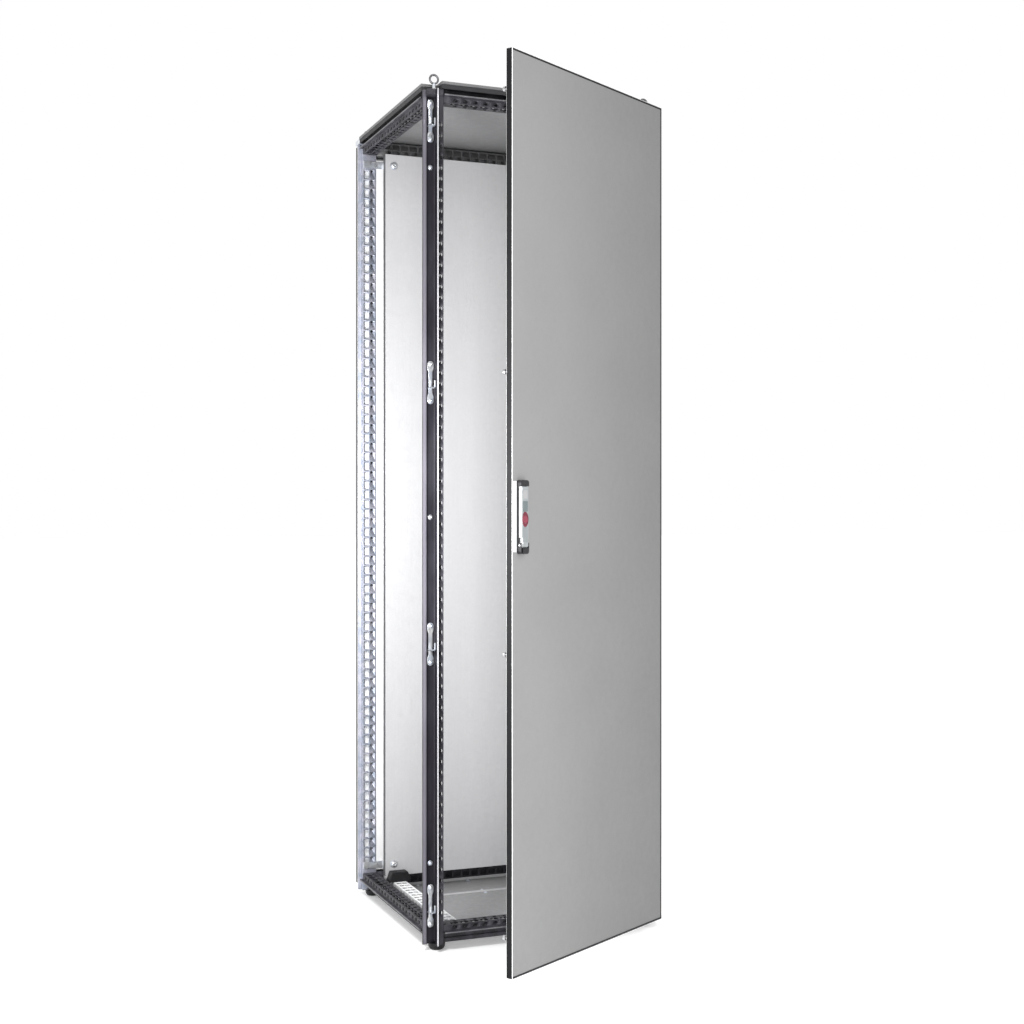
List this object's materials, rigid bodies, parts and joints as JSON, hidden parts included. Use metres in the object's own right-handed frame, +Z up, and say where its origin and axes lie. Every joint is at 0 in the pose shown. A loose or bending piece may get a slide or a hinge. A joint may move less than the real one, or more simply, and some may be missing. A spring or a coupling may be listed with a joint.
{
  "type": "industrial switchboard cabinet",
  "caption": "Tall free-standing switchboard cabinet: punched profile frame with open sides, galvanised mounting plate, roof, lifting eyes, and a hinged door with lift handle and lock rod.",
  "frame": {"origin": "centre of the cabinet's base, on the underside of the floor plate, which is the frame's underside; the feet stand below it", "axes": "+X to the door's hinged side, +Y from the front to the rear, +Z up"},
  "size_m": [0.6025, 0.9198, 2.0382],
  "materials": {
    "frame_paint": "dark grey dipcoat primer, satin",
    "zinc": "bright zinc plated",
    "galvanised": "hot dip galvanised sheet, matt",
    "door_paint": "light grey textured powder coat",
    "roof_paint": "grey powder coat",
    "panel_paint": "light grey powder coat",
    "gasket_foam": "foamed seal, matt",
    "black_plastic": "black glass filled nylon",
    "handle_grey": "light grey painted die casting",
    "button_red": "dark red moulded plastic",
    "steel": "plain bright steel"
  },
  "bodies": {
    "cabinet": {"post_front_left": "frame_paint", "post_front_right": "frame_paint", "post_rear_left": "frame_paint", "post_rear_right": "frame_paint", "rail_top_front": "frame_paint", "rail_top_rear": "frame_paint", "rail_top_left": "frame_paint", "rail_top_right": "frame_paint", "rail_bottom_front": "frame_paint", "rail_bottom_rear": "frame_paint", "rail_bottom_left": "frame_paint", "rail_bottom_right": "frame_paint", "roof_panel": "roof_paint", "lifting_eye_front_left": "zinc", "lifting_eye_front_right": "zinc", "lifting_eye_rear_left": "zinc", "lifting_eye_rear_right": "zinc", "foot_front_left": "black_plastic", "foot_front_right": "black_plastic", "foot_rear_left": "black_plastic", "foot_rear_right": "black_plastic", "floor_plate_front": "galvanised", "floor_plate_rear": "galvanised", "rear_panel": "panel_paint", "mounting_plate": "galvanised", "plate_bracket_lower_left": "zinc", "plate_bracket_lower_right": "zinc", "plate_bracket_upper_left": "zinc", "plate_bracket_upper_right": "zinc", "floor_slide_left": "zinc", "plate_shoe_left": "black_plastic", "floor_slide_right": "zinc", "plate_shoe_right": "black_plastic", "latch_keeper_1": "zinc", "latch_keeper_2": "zinc", "latch_keeper_3": "zinc", "latch_keeper_4": "zinc", "hinge_frame_leaf_1": "zinc", "hinge_pin_1": "steel", "hinge_frame_leaf_2": "zinc", "hinge_pin_2": "steel", "hinge_frame_leaf_3": "zinc", "hinge_pin_3": "steel"},
    "door": {"door_panel": "door_paint", "door_gasket": "gasket_foam", "handle_housing": "black_plastic", "lever_pin": "steel", "door_tube_left": "frame_paint", "door_tube_right": "frame_paint", "door_tube_top": "frame_paint", "door_tube_bottom": "frame_paint", "hinge_door_leaf_1": "zinc", "hinge_door_leaf_2": "zinc", "hinge_door_leaf_3": "zinc", "rod_guide_1": "black_plastic", "rod_guide_2": "black_plastic"},
    "lock_rod": {"lock_rod": "steel"},
    "lever": {"handle_lever": "handle_grey", "drive_gear": "steel"},
    "button": {"lock_button": "button_red"}
  },
  "joints": [
    {"name": "door_hinge", "type": "hinge", "parent": "cabinet", "child": "door", "pos_m": [0.29, -0.3075, 1], "axis": [0, 0, 1], "range_deg": [-30.5, 99.5]},
    {"name": "rod_slide", "type": "slide", "parent": "door", "child": "lock_rod", "axis": [0, 0, 1], "range_m": [0, 0.0122]},
    {"name": "lever_lift", "type": "hinge", "parent": "door", "child": "lever", "pos_m": [-0.18423, -0.60657, 0.9315], "axis": [0.8616, 0.5075, 0], "range_deg": [0, 50]},
    {"name": "button_press", "type": "slide", "parent": "lever", "child": "button", "axis": [-0.5075, 0.8616, 0], "range_m": [0, 0.003], "stiffness_N_per_m": 300, "springref_m": -0.002}
  ],
  "couplings": [
    {"joint": "lever_lift", "follows": "rod_slide", "rad_per_m": 71.429}
  ]
}
